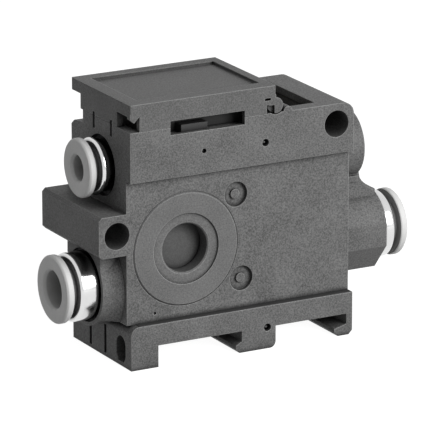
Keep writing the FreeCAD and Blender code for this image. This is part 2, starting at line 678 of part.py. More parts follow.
pad_along_y(body, "barrel_web", "-web_thickness / 2", "web_thickness / 2", [
    (RIGHT + " - 1", "right_port_height + right_boss_radius / 2"),
    (RIGHT + " + barrel_length + web_round", "right_port_height + right_boss_radius / 2"),
    (RIGHT + " + barrel_length + web_round", boss_crest),
    (RIGHT + " + barrel_length + 0.5 * web_round", boss_crest + " + 0.134 * web_round"),
    (RIGHT + " + barrel_length + 0.134 * web_round", boss_crest + " + 0.5 * web_round"),
    (RIGHT + " + barrel_length", boss_crest + " + web_round"),
    (RIGHT + " + barrel_length", "barrel_height - barrel_radius / 2"),
    (RIGHT + " - 1", "barrel_height - barrel_radius / 2"),
])
for name, x, z in (("upper", "upper_dimple_place", "upper_dimple_height"),
                   ("lower", "lower_dimple_place", "lower_dimple_height")):
    pad_round_y(body, name + "_locating_pin", NEST + " - 1", NEST + " + locating_pin_height",
                from_left(x), z, "dimple_radius - locating_pin_gap")
    drill_y(body, name + "_dimple", PANEL, PANEL + " + dimple_depth", from_left(x), z, "dimple_radius")
    pad_round_y(body, name + "_pip", PANEL + " + dimple_depth - dimple_pip_height", PANEL + " + dimple_depth + 1",
                from_left(x), z, "dimple_pip_radius")

# Supply gallery, the seat of its insert, and the seal grooves at front and back.
gallery_x = from_left("gallery_place")
drill_y(body, "gallery", PANEL, NEST, gallery_x, "gallery_height", "gallery_back_radius")
drill_y(body, "blank_seat", PANEL, INSERT_FACE + " + blank_depth + blank_thickness", gallery_x,
        "gallery_height", "blank_radius")
drill_y(body, "insert_seat", PANEL, INSERT_FACE + " + insert_thickness", gallery_x, "gallery_height",
        "insert_radius + insert_gap")
groove = sketch_on(body, "insert_seal_groove", "XZ_Plane", "-(%s + insert_thickness)" % INSERT_FACE)
ring(groove, gallery_x, "gallery_height", "insert_seal_radius + 1.15 * insert_seal_section")
ring(groove, gallery_x, "gallery_height", "insert_seal_radius - 1.15 * insert_seal_section")
sink(body, groove, "2 * insert_seal_section")
groove = sketch_on(body, "back_seal_groove", "XZ_Plane", "-(%s - 2 * back_seal_section + back_seal_proud)" % NEST)
ring(groove, gallery_x, "gallery_height", "back_seal_radius + 1.15 * back_seal_section")
ring(groove, gallery_x, "gallery_height", "back_seal_radius - 1.15 * back_seal_section")
sink(body, groove, "2 * back_seal_section")

# Tie rod holes and the two small holes of the deck front.
drill_y(body, "upper_tie_hole", FRONT, BACK, from_left("upper_tie_place"), "upper_tie_height", "tie_hole_radius")
drill_y(body, "lower_tie_hole", PANEL, NEST, from_left("0 - lower_tie_outset"), "lower_tie_height",
        "tie_hole_radius")
drill_y(body, "tool_hole", FRONT, FRONT + " + small_hole_depth", from_left("tool_hole_place"),
        "tool_hole_height", "tool_hole_radius")
drill_y(body, "vent_hole", FRONT, FRONT + " + small_hole_depth", from_left("vent_hole_place"),
        "vent_hole_height", "vent_hole_radius")

drill_y(body, "pin_mark", PANEL, PANEL + " + mark_depth", from_left("mark_place"), "mark_height", "mark_radius")

# Deck pocket under the lid, plug socket right of it, front slot, latch slits and
# the finger grip at the back left corner.
pocket_top = "deck_height + 1"
hinge_x = from_left("hinge_place")
slot_y(body, "deck_pocket", from_front("front_wall"), BACK + " - front_wall",
       rectangle((LEFT + " + wall_thickness", from_left("socket_end")), ("pocket_floor", pocket_top)))
slot_y(body, "plug_socket", from_front("front_wall"), BACK + " - front_wall",
       rectangle((from_left("socket_start"), from_left("socket_end")), ("socket_floor", pocket_top)))
slot_y(body, "front_slot", FRONT, from_front("front_wall"),
       rectangle((from_left("slot_start"), from_left("slot_end")), ("slot_bottom", pocket_top)))
slot_y(body, "slot_room", from_front("slot_wall"), from_front("front_wall"),
       rectangle((from_left("slot_start - slot_rim"), from_left("slot_end + slot_rim")),
                 ("slot_bottom - slot_rim / 2", pocket_top)))
slot_y(body, "socket_hollow", from_front("front_wall + slot_rim"), BACK + " - front_wall - slot_rim",
       rectangle((from_left("socket_end"), from_left("socket_end + socket_undercut")),
                 ("socket_floor", "deck_height - socket_rim")))
for number in range(2):
    slit = from_front("latch_slit_first + %d * latch_slit_pitch" % number)
    slot_x(body, "latch_slit_%d" % number, LEFT, LEFT + " + wall_thickness",
           rectangle((slit, slit + " + latch_slit_width"), ("deck_height - latch_slit_depth", pocket_top)))
slot_x(body, "finger_grip", LEFT, from_left("grip_length"), [
    (from_front("grip_start"), "grip_floor"),
    (BACK + " - 1", "grip_floor - 0.4"),
    (BACK + " + 1", "grip_floor - 2"),
    (BACK + " + 1", pocket_top),
    (from_front("grip_start"), pocket_top),
])
knuckle_width = "front_wall - lug_gap / 2"
lug_front = from_front("front_wall + lug_gap / 2")
lug_back = BACK + " - front_wall - lug_gap / 2"
drill_y(body, "front_knuckle_relief", FRONT, from_front("front_wall"), hinge_x, "hinge_height",
        "knuckle_radius + hinge_relief")
drill_y(body, "back_knuckle_relief", BACK + " - front_wall", BACK, hinge_x, "hinge_height",
        "knuckle_radius + hinge_relief")
for name, start in (("front", lug_front), ("back", lug_back + " - lug_width")):
    end = start + " + lug_width"
    pad_along_y(body, name + "_lug_foot", start, end,
                rectangle((hinge_x + " - lug_radius", hinge_x + " + lug_radius"),
                          ("pocket_floor - 0.2", "hinge_height")))
    pad_round_y(body, name + "_lug", start, end, hinge_x, "hinge_height", "lug_radius")
    drill_y(body, name + "_lug_eye", start, end, hinge_x, "hinge_height", "hinge_pin_radius")
pad_round_y(body, "front_bump", FRONT, from_front("front_wall"), from_left("bump_place"), "deck_height",
            "bump_radius")

# Spool bore and pilot chamber, sockets of the three fittings, air passages.
chamber_start = from_left("spool_start + " + SPOOL_LENGTH + " - spool_stroke - stop_gap")
drill_x(body, "spool_bore", from_left("spool_bore_start"), chamber_start, "barrel_height", "spool_bore_radius")
drill_x(body, "pilot_chamber", chamber_start, RIGHT + " + barrel_length", "barrel_height", "chamber_radius")


def fitting_socket(name, prefix, face, sign, z, wall, groove_radius):
    """Stepped socket for a push-in fitting; face is the plane of its release ring,
    wall the station of the surface that the sleeve enters."""
    def span(near, far):
        ends = ["%s %s (%s)" % (face, sign, near), "%s %s (%s)" % (face, sign, far)]
        return ends if sign == "+" else ends[::-1]
    p = prefix + "_"
    seat = sleeve_face(p) + " + " + p + "sleeve_visible"
    steps = [
        ("groove", wall, wall + " + " + p + "groove_depth", groove_radius),
        ("mouth", wall, seat, p + "sleeve_radius + running_gap"),
        ("seat", seat, seat + " + " + p + "seat_length", p + "seat_radius"),
        ("room", seat + " + " + p + "seat_length", p + "stop", p + "seal_radius"),
    ]
    for step, near, far, radius in steps:
        start, end = span(near, far)
        drill_x(body, name + "_" + step, start, end, z, radius)


lower_left_face = "(%s - six_left_face)" % LEFT
upper_left_face = "(%s - four_left_face)" % LEFT
right_face = "(%s + six_right_face)" % RIGHT
fitting_socket("lower_left", "six", lower_left_face, "+", "left_port_height",
               "six_left_face - left_boss_length", "six_groove_radius")
fitting_socket("right", "six", right_face, "-", "right_port_height",
               "six_right_face - right_boss_length", "six_groove_radius")
fitting_socket("upper_left", "four", upper_left_face, "+", "upper_port_height", "four_left_face",
               "upper_mouth_radius")
drill_x(body, "supply_passage", gallery_x, from_left("supply_place"), "gallery_height", "passage_radius")
drill_z(body, "supply_riser", "gallery_height", "barrel_height", from_left("supply_place"), "0", "passage_radius")
drill_x(body, "left_passage", lower_left_face + " + six_stop", from_left("left_passage_place"),
        "left_port_height", "passage_radius")
drill_z(body, "left_riser", "left_port_height", "barrel_height", from_left("left_passage_place"), "0",
        "passage_radius")
drill_x(body, "pilot_passage", upper_left_face + " + four_stop", from_left("pilot_passage_place"),
        "upper_port_height", "pilot_passage_radius")
drill_z(body, "pilot_riser", "upper_port_height", "pocket_floor", from_left("pilot_passage_place"), "0",
        "pilot_passage_radius")
drill_x(body, "right_passage", from_left("right_passage_place"), right_face + " - six_stop",
        "right_port_height", "passage_radius")
drill_z(body, "right_riser", "right_port_height", "barrel_height", from_left("right_passage_place"), "0",
        "passage_radius")
for name, x, y in screw_places:
    drill_z(body, "screw_hole_" + name, "base_top", "rail_recess + screw_length", x, y, "screw_radius")
contact_x = from_left("contact_place")
for number in range(3):
    y = "(%d * contact_pitch)" % (number - 1)
    sketch = sketch_on(body, "contact_seat_%d" % number, "XY_Plane", "socket_floor - contact_root")
    outline(sketch, rectangle((contact_x + " - contact_thickness / 2", contact_x + " + contact_thickness / 2"),
                              (y + " - contact_width / 2", y + " + contact_width / 2")))
    sink(body, sketch, "contact_root", True)

# Lid: a shallow inverted tray with a label recess, hinged at its right end.
cover = new_body("top_cover")
cover_right = from_left("cover_length")
cover_back = "(%s - cover_back_inset)" % BACK
cover_bottom = "(deck_height + joint_gap)"
plate_bottom = "(cover_top - cover_plate)"
pad_along_y(cover, "cover_plate_block", FRONT, cover_back,
            rectangle((LEFT, cover_right), (plate_bottom, "cover_top")))
round_places = [
    Vector(-half_length, -half_depth, 0),
    Vector(-half_length, half_depth - size["cover_back_inset"], 0),
    Vector(size["cover_length"] - half_length, -half_depth, 0),
]
round_edges(cover, round_places, ALONG_Z, "edge_round / 2")
skirt_profile = [
    (LEFT + " + notch_length", cover_bottom),
    (from_left("skirt_end"), cover_bottom),
    (from_left("skirt_end"), "hinge_height + hinge_relief"),
    (cover_right, "hinge_height + hinge_relief"),
    (cover_right, plate_bottom + " + 0.5"),
    (LEFT, plate_bottom + " + 0.5"),
    (LEFT, plate_bottom + " - notch_tip / 2"),
    (LEFT + " + notch_tip", plate_bottom + " - 1.4 * notch_tip"),
    (LEFT + " + notch_length", plate_bottom),
]
pad_along_y(cover, "front_skirt", FRONT, from_front("cover_skirt"), skirt_profile)
pad_along_y(cover, "back_skirt", cover_back + " - cover_skirt", cover_back, [
    (from_left("grip_length"), cover_bottom),
    (from_left("skirt_end"), cover_bottom),
    (from_left("skirt_end"), "hinge_height + hinge_relief"),
    (cover_right, "hinge_height + hinge_relief"),
    (cover_right, plate_bottom + " + 0.5"),
    (from_left("grip_length"), plate_bottom + " + 0.5"),
])
side = sketch_on(cover, "left_skirt", "YZ_Plane", LEFT)
outline(side, rectangle((from_front("notch_width"), from_front("skirt_back_end")),
                        (cover_bottom, plate_bottom + " + 0.5")))
grow(cover, side, "cover_skirt")
for number in range(2):
    slit = from_front("latch_slit_first + %d * latch_slit_pitch" % number)
    slot_x(cover, "lid_slit_%d" % number, LEFT, LEFT + " + cover_skirt",
           rectangle((slit, slit + " + latch_slit_width"), (cover_bottom, "deck_height + latch_slit_rise")))
for name, start, end in (("front", FRONT, from_front("front_wall - lug_gap / 2")),
                         ("back", BACK + " - front_wall + lug_gap / 2", cover_back)):
    pad_along_y(cover, name + "_knuckle_root", start, end, [
        (hinge_x + " - knuckle_radius", "hinge_height"),
        (hinge_x, "hinge_height"),
        (hinge_x, plate_bottom + " + 0.5"),
        (hinge_x + " - knuckle_radius", plate_bottom + " + 0.5"),
    ])
    pad_round_y(cover, name + "_knuckle", start, end, hinge_x, "hinge_height", "knuckle_radius")
drill_y(cover, "hinge_bore", from_front("knuckle_cap"), cover_back + " - knuckle_cap", hinge_x, "hinge_height",
        "hinge_pin_radius + running_gap")
for name, start, end in (("front", FRONT, from_front("knuckle_mouth_depth")),
                         ("back", cover_back + " - knuckle_mouth_depth", cover_back)):
    slot_y(cover, name + "_knuckle_mouth", start, end,
           rectangle((hinge_x + " - knuckle_radius - 0.1", hinge_x + " - knuckle_mouth"),
                     ("hinge_height - knuckle_radius - 0.1", "hinge_height + hinge_relief / 2")))
slot_y(cover, "hinge_slit", FRONT, from_front("cover_skirt"),
       rectangle((hinge_x + " - hinge_slit_start", hinge_x + " - hinge_slit_end"),
                 (plate_bottom + " - hinge_slit_height", plate_bottom)))
slot_y(cover, "cover_slot", FRONT, from_front("cover_skirt"),
       rectangle((from_left("slot_start"), from_left("slot_end")), (cover_bottom, "slot_top")))
label = sketch_on(cover, "label_recess", "XY_Plane", "cover_top - label_depth")
outline(label, rectangle((from_left("label_start"), from_left("label_end")),
                         (from_front("label_front"), cover_back + " - label_front + 0.6")))
sink(cover, label, "label_depth + 1", True)

# Hinge pin, fixed in the body's lugs.
pin = rod("hinge_pin", "Y", "hinge_pin_radius", from_front("knuckle_cap + stop_gap"),
          cover_back + " - knuckle_cap - stop_gap",
          (hinge_x, "hinge_height"))

# Gallery insert, turned, with a sunk face round the gallery, and the blanking disc
# pressed into the gallery behind it.
insert = revolved("gallery_insert", [
    ("insert_step_depth", "gallery_radius + insert_chamfer"),
    ("insert_step_depth + insert_chamfer", "gallery_radius"),
    ("insert_thickness", "gallery_radius"),
    ("insert_thickness", "insert_radius"),
    ("insert_chamfer", "insert_radius"),
    ("0", "insert_radius - insert_chamfer"),
    ("0", "insert_step_radius"),
    ("insert_step_depth", "insert_step_radius"),
])
insert.Placement = FreeCAD.Placement(Vector(0, 0, 0), Rotation(Vector(0, 0, 1), 90))
bind(insert, place_x=gallery_x, place_y=INSERT_FACE, place_z="gallery_height")
blank = rod("gallery_blank", "Y", "blank_radius", INSERT_FACE + " + blank_depth",
            INSERT_FACE + " + blank_depth + blank_thickness", (gallery_x, "gallery_height"))


def seal_ring(name, mean_radius, section, axis, x, y, z):
    """A round-section seal ring."""
    seal = doc.addObject("Part::Torus", name)
    seal.Placement = FreeCAD.Placement(Vector(0, 0, 0), TURNS[axis])
    bind(seal, Radius1=mean_radius, Radius2=section)
    return bind(seal, place_x=x, place_y=y, place_z=z)


insert_seal = seal_ring("insert_seal", "insert_seal_radius", "insert_seal_section", "Y", gallery_x,
                        INSERT_FACE + " + insert_thickness + insert_seal_section", "gallery_height")
gallery_seal = seal_ring("gallery_seal", "back_seal_radius", "back_seal_section", "Y", gallery_x,
                         NEST + " - back_seal_section + back_seal_proud", "gallery_height")

# The spool with its four lands, each grooved for a seal ring.
land_radius = "(spool_bore_radius - running_gap)"
groove_bottom = "(spool_bore_radius - running_gap - 2 * spool_seal_section)"
station = "spool_spigot_length"
profile = [("0", "0"), ("0", "spool_spigot_radius"), (station, "spool_spigot_radius")]
seal_stations = []
for number in range(LAND_COUNT):
    middle = "(%s + spool_land / 2)" % station
    end = "(%s + spool_land)" % station
    profile += [
        (station, land_radius),
        (middle + " - 1.1 * spool_seal_section", land_radius),
        (middle + " - 1.1 * spool_seal_section", groove_bottom),
        (middle + " + 1.1 * spool_seal_section", groove_bottom),
        (middle + " + 1.1 * spool_seal_section", land_radius),
        (end, land_radius),
    ]
    seal_stations.append(middle)
    if number < LAND_COUNT - 1:
        station = "(spool_spigot_length + %d * (spool_land + spool_neck_length))" % (number + 1)
        profile += [(end, "spool_neck_radius"), (station, "spool_neck_radius")]
    else:
        profile += [(end, "0")]
spool_x = from_left("spool_start")
spool = bind(revolved("spool", profile), place_x=spool_x, place_y="0", place_z="barrel_height")
spool_seals = []
for number, middle in enumerate(seal_stations):
    spool_seals.append(seal_ring("spool_seal_%d" % number, land_radius + " - spool_seal_section",
                                 "spool_seal_section", "X", spool_x + " + " + middle, "0", "barrel_height"))
seals = grouped("spool_seals", spool_seals)

# Pilot piston, pressed against the spool's right end, with its seal ring.
piston_x = spool_x + " + " + SPOOL_LENGTH
piston_radius = "(chamber_radius - running_gap)"
piston_groove = "(chamber_radius - running_gap - 2 * piston_seal_section)"
piston = bind(revolved("pilot_piston", [
    ("0", "0"),
    ("0", piston_radius + " - piston_seal_section"),
    ("piston_seal_section / 2", piston_radius),
    ("piston_thickness / 2 - 1.1 * piston_seal_section", piston_radius),
    ("piston_thickness / 2 - 1.1 * piston_seal_section", piston_groove),
    ("piston_thickness / 2 + 1.1 * piston_seal_section", piston_groove),
    ("piston_thickness / 2 + 1.1 * piston_seal_section", piston_radius),
    ("piston_thickness", piston_radius),
    ("piston_thickness", "0"),
]), place_x=piston_x, place_y="0", place_z="barrel_height")
piston_seal = seal_ring("piston_seal", piston_radius + " - piston_seal_section", "piston_seal_section", "X",
                        piston_x + " + piston_thickness / 2", "0", "barrel_height")

# End cap pressed into the pilot barrel; its boss stops the piston.
cap_x = RIGHT + " + barrel_length - end_cap_thickness"
end_cap = bind(revolved("pilot_end_cap", [
    ("-end_cap_boss", "0"),
    ("-end_cap_boss", "end_cap_boss_radius"),
    ("0", "end_cap_boss_radius"),
    ("0", "chamber_radius"),
    ("end_cap_thickness", "chamber_radius"),
    ("end_cap_thickness", "0"),
]), place_x=cap_x, place_y="0", place_z="barrel_height")

# Return spring between the end of its bore and the spool's first land.
spring_length = "(spool_start + spool_spigot_length - spool_bore_start)"
helix = doc.addObject("Part::Helix", "spring_helix")
helix.Placement = FreeCAD.Placement(Vector(0, 0, 0), TURNS["X"])
bind(helix, Radius="spring_radius", Pitch="(%s - 2.2 * spring_wire) / spring_turns" % spring_length,
     Height="%s - 2.2 * spring_wire" % spring_length)
bind(helix, place_x=from_left("spool_bore_start + 1.1 * spring_wire"), place_y="0", place_z="barrel_height")
wire = doc.addObject("Part::Circle", "spring_wire_section")
wire.Placement = FreeCAD.Placement(Vector(0, 0, 0), Rotation(Vector(0, 1, 0), 0))
bind(wire, Radius="spring_wire")
bind(wire, place_x=from_left("spool_bore_start + 1.1 * spring_wire"), place_y="0",
     place_z="barrel_height - spring_radius")
wire.Placement = FreeCAD.Placement(wire.Placement.Base, Rotation(Vector(1, 0, 0), 90))
spring = doc.addObject("Part::Sweep", "return_spring")
spring.Sections = [wire]
spring.Spine = (helix, [])
spring.Solid = True
spring.Frenet = True


def fitting(name, prefix, face, turned, z):
    """The five pieces of a push-in fitting, from the face of its release ring inwards."""
    p = prefix + "_"
    face_of_sleeve = sleeve_face(p)
    face_of_seal = seal_face(p)
    visible_end = "(%s + %ssleeve_visible)" % (face_of_sleeve, p)
    sleeve = revolved(name + "_sleeve", [
        (face_of_sleeve, p + "stem_radius"),
        (visible_end + " + " + p + "seat_length", p + "stem_radius"),
        (visible_end + " + " + p + "seat_length", p + "seat_radius"),
        (visible_end, p + "seat_radius"),
        (visible_end, p + "sleeve_radius"),
        (face_of_sleeve + " + sleeve_chamfer", p + "sleeve_radius"),
        (face_of_sleeve, p + "sleeve_radius - sleeve_chamfer"),
    ])
    button = revolved(name + "_release_ring", [
        ("0", p + "tube_radius + 0.4"),
        ("0.4", p + "tube_radius"),
        (p + "hub_end", p + "tube_radius"),
        (p + "hub_end", p + "tube_radius + hub_wall"),
        (p + "flange_thickness - collet_plate", p + "tube_radius + hub_wall"),
        (p + "flange_thickness - collet_plate", p + "flange_radius - 0.3"),
        (p + "flange_thickness", p + "flange_radius"),
        ("0.3", p + "flange_radius"),
        ("0", p + "flange_radius - 0.5"),
    ])
    collet = revolved(name + "_collet", [
        (p + "flange_thickness - collet_plate", p + "tube_radius + hub_wall"),
        (p + "hub_end", p + "tube_radius + hub_wall"),
        (p + "hub_end", p + "tube_radius + collet_relief"),
        (p + "collet_end - chuck_length", p + "tube_radius + collet_relief"),
        (p + "collet_end - chuck_length", p + "collet_radius"),
        (p + "stem_end + collet_slope", p + "collet_radius"),
        (p + "stem_end", p + "stem_radius - running_gap"),
        (p + "flange_thickness", p + "stem_radius - running_gap"),
        (p + "flange_thickness", p + "flange_radius - 0.3"),
        (p + "flange_thickness - collet_plate", p + "flange_radius - 0.3"),
    ])
    chuck = revolved(name + "_chuck", [
        (p + "collet_end - chuck_length", p + "tube_radius + collet_relief"),
        (p + "collet_end - 0.3", p + "tube_radius + 0.1"),
        (p + "collet_end", p + "tube_radius + 0.1"),
        (p + "collet_end", p + "collet_radius"),
        (p + "collet_end - chuck_length", p + "collet_radius"),
    ])
    seal = revolved(name + "_tube_seal", [
        (face_of_seal, p + "tube_radius + 0.3"),
        (face_of_seal + " + " + p + "seal_length / 2", p + "tube_radius - 0.15"),
        (face_of_seal + " + " + p + "seal_length", p + "tube_radius + 0.3"),
        (face_of_seal + " + " + p + "seal_length", p + "seal_radius"),
        (face_of_seal, p + "seal_radius"),
    ])
    pieces = [sleeve, button, collet, chuck, seal]
    for piece in pieces:
        piece.Placement = FreeCAD.Placement(Vector(0, 0, 0), Rotation(Vector(0, 0, 1), 180 if turned else 0))
        bind(piece, place_x=face, place_y="0", place_z=z)
    return pieces


fittings = []
fittings += fitting("lower_left", "six", lower_left_face, False, "left_port_height")
fittings += fitting("right", "six", right_face, True, "right_port_height")
fittings += fitting("upper_left", "four", upper_left_face, False, "upper_port_height")

# Base screws: countersunk flush with the underside of the base, with a slot.
screws = []
for name, x, y in screw_places:
    shank = rod("shank_" + name, "Z", "screw_radius", "rail_recess + screw_head_height / 2",
                "rail_recess + screw_length", (x, y))
    head = rod("head_" + name, "Z", "screw_head_radius", "rail_recess", "rail_recess + screw_head_height", (x, y))
    drive = block("drive_" + name, (x + " - screw_head_radius - 1", x + " + screw_head_radius + 1"),
                  (y + " - screw_slot_width / 2", y + " + screw_slot_width / 2"),
                  ("rail_recess - 1", "rail_recess + screw_slot_depth"))
    screws.append(cut("screw_" + name, fused("blank_" + name, [shank, head]), drive))
base_screws = grouped("base_screws", screws)

# Pilot unit in the deck pocket, with a coil rib and the contact block that shows
# in the front slot; the override button slides in its top.
pilot_y = (from_front("pilot_front"), from_front("pilot_front + pilot_width"))
pilot_box = block("pilot_box", (from_left("pilot_start"), from_left("pilot_end")), pilot_y,
                  ("pocket_floor", "pilot_top"))
contact_block = block("contact_block", (from_left("pilot_step_start"), from_left("pilot_step_end")),
                      (from_front("pilot_front - pilot_step_width"), from_front("pilot_front + 1")),
                      ("pocket_floor", "pilot_step_height"))
coil_rib = rod("coil_rib", "X", "coil_radius", from_left("button_place + 3.4"), from_left("pilot_end - 1.4"),
               ("0", "pilot_top"))
pilot_blank = fused("pilot_blank", [pilot_box, contact_block, coil_rib])
button_x = from_left("button_place")
button_well = rod("button_well", "Z", "button_radius + running_gap",
                  "pilot_top + button_proud - button_length - button_travel", "pilot_top + 2",
                  (button_x, "button_offset"))
pilot_unit = cut("pilot_unit", pilot_blank, button_well)
button = rod("override_button", "Z", "button_radius", "pilot_top + button_proud - button_length",
             "pilot_top + button_proud", (button_x, "button_offset"))

# Contact pins standing in the floor of the plug socket.
contacts = []
for number in range(3):
    y = "(%d * contact_pitch)" % (number - 1)
    contacts.append(block("contact_%d" % number,
                          (contact_x + " - contact_thickness / 2", contact_x + " + contact_thickness / 2"),
                          (y + " - contact_width / 2", y + " + contact_width / 2"),
                          ("socket_floor - contact_root", "socket_floor + contact_height")))
contact_pins = grouped("contact_pins", contacts)

doc.recompute()

NODES = [base, body, cover, pin, insert, blank, insert_seal, gallery_seal, spool, seals, piston, piston_seal,
         end_cap, spring, base_screws, pilot_unit, button, contact_pins] + fittings

# Nothing is written unless every object computed and every piece is a sound solid.
for item in doc.Objects:
    if "Invalid" in item.State or "Error" in item.State:
        raise ValueError("%s did not compute: %s" % (item.Name, item.State))
for item in doc.Objects:
    if item.TypeId == "PartDesign::Pocket" and item.Shape.Volume > item.BaseFeature.Shape.Volume - 0.001:
        raise ValueError(item.Name + " takes nothing away")
for node in NODES:
    node.Label = node.Name
    shape = node.Shape
    if shape.isNull() or not shape.isValid() or not shape.Solids:
        raise ValueError(node.Name + " is not a sound solid")

os.makedirs("parts", exist_ok=True)
for node in NODES:
    node.Shape.exportStep("parts/%s.step" % node.Name)
    box = node.Shape.BoundBox
    print("%-26s solids %d volume %9.2f  x %.2f..%.2f y %.2f..%.2f z %.2f..%.2f" % (
        node.Name, len(node.Shape.Solids), node.Shape.Volume,
        box.XMin, box.XMax, box.YMin, box.YMax, box.ZMin, box.ZMax))
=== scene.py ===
import math
import bmesh
import bpy
from mathutils import Matrix, Vector


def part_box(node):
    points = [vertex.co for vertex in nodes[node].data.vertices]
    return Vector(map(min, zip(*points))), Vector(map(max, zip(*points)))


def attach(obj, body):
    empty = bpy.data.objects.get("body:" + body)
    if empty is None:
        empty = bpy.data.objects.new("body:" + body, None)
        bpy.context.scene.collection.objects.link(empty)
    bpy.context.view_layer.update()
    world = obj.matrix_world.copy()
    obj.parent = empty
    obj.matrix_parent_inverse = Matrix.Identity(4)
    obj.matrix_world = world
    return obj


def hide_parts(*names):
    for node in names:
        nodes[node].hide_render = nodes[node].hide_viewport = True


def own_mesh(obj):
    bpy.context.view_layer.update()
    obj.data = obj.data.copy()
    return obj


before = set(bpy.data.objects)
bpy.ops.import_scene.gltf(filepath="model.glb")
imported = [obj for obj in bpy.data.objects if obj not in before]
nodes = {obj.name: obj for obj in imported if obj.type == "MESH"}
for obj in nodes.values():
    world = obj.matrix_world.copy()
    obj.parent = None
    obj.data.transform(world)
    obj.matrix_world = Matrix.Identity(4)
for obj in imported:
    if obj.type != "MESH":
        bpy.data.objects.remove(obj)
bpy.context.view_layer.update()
MM = 0.001


# Valve body, rail base and pilot end cap: dark grey glass-filled nylon from moulds.
# The skin is finely mottled and its edges are softly rounded. A painted highlight lightens
# the edges, and painted shade darkens corners and hollows. The base is screwed on from
# below, the end cap is pressed in.
HOUSING_GREY = (0.136, 0.136, 0.1352)
GRAINS_PER_METRE, CLOUDS_PER_METRE = 3900, 190
GRAIN_DEPTH = 0.02 * MM
NOISE_RANGE = (0.3, 0.7)
SPECKLE_SWING, CLOUD_SWING = (-0.55, 0.6), (-0.22, 0.22)
SKIN_ROUGHNESS = (0.52, 0.66)
FLAT_TO_EDGE = (0.995, 0.86)
CORNER_SHADE = dict(reach=0.9 * MM, dark_to_open=(0.4, 0.97), darkening=0.95)
HOLLOW_SHADE = dict(reach=9 * MM, dark_to_open=(0.12, 0.7), darkening=0.72)
EDGE_SAMPLES, OPENNESS_SAMPLES = 6, 10


def finish_group(name, numbers):
    """A node group that takes a colour and numbers and puts out a finish."""
    group = bpy.data.node_groups.new(name, "ShaderNodeTree")
    group.interface.new_socket(name="Colour", in_out="INPUT", socket_type="NodeSocketColor")
    for label in numbers:
        group.interface.new_socket(name=label, in_out="INPUT", socket_type="NodeSocketFloat")
    for label, kind in (("Colour", "Color"), ("Roughness", "Float"), ("Normal", "Vector")):
        group.interface.new_socket(name=label, in_out="OUTPUT", socket_type="NodeSocket" + kind)
    given, put_out = group.nodes.new("NodeGroupInput"), group.nodes.new("NodeGroupOutput")
    return group, given.outputs, put_out.inputs


def maths(tree, operation, *terms):
    """The result of a math node that is fed with sockets or plain numbers."""
    node = tree.nodes.new("ShaderNodeMath")
    node.operation = operation
    for socket, term in zip(node.inputs, terms):
        if isinstance(term, bpy.types.NodeSocket):
            tree.links.new(term, socket)
        else:
            socket.default_value = term
    return node.outputs["Value"]


def mapped(tree, value, taken, given=(0, 1)):
    """A value carried from one range to another."""
    node = tree.nodes.new("ShaderNodeMapRange")
    tree.links.new(value, node.inputs["Value"])
    for label, number in zip(("From Min", "From Max", "To Min", "To Max"), (*taken, *given)):
        node.inputs[label].default_value = number
    return node.outputs["Result"]


def noise(tree, per_metre, detail, roughness=0.5, stretch=(1, 1, 1)):
    """Noise that is fixed to the object, with its features per metre."""
    place = tree.nodes.new("ShaderNodeTexCoord")
    mapping = tree.nodes.new("ShaderNodeMapping")
    mapping.inputs["Scale"].default_value = stretch
    node = tree.nodes.new("ShaderNodeTexNoise")
    node.inputs["Scale"].default_value = per_metre
    node.inputs["Detail"].default_value = detail
    node.inputs["Roughness"].default_value = roughness
    tree.links.new(place.outputs["Object"], mapping.inputs["Vector"])
    tree.links.new(mapping.outputs["Vector"], node.inputs["Vector"])
    return node.outputs["Fac"]


def openness(tree, reach):
    """How open a point is within a reach, from 0 to 1."""
    node = tree.nodes.new("ShaderNodeAmbientOcclusion")
    node.samples = OPENNESS_SAMPLES
    node.inputs["Distance"].default_value = reach
    return node.outputs["AO"]


def scaled(tree, colour, level):
    """A colour made lighter or darker."""
    node = tree.nodes.new("ShaderNodeVectorMath")
    node.operation = "SCALE"
    tree.links.new(colour, node.inputs[0])
    tree.links.new(level, node.inputs["Scale"])
    return node.outputs["Vector"]


def bump_node(tree, depth, strength, height):
    """A bump of a depth, fed with its strength and height."""
    node = tree.nodes.new("ShaderNodeBump")
    node.inputs["Distance"].default_value = depth
    tree.links.new(strength, node.inputs["Strength"])
    tree.links.new(height, node.inputs["Height"])
    return node


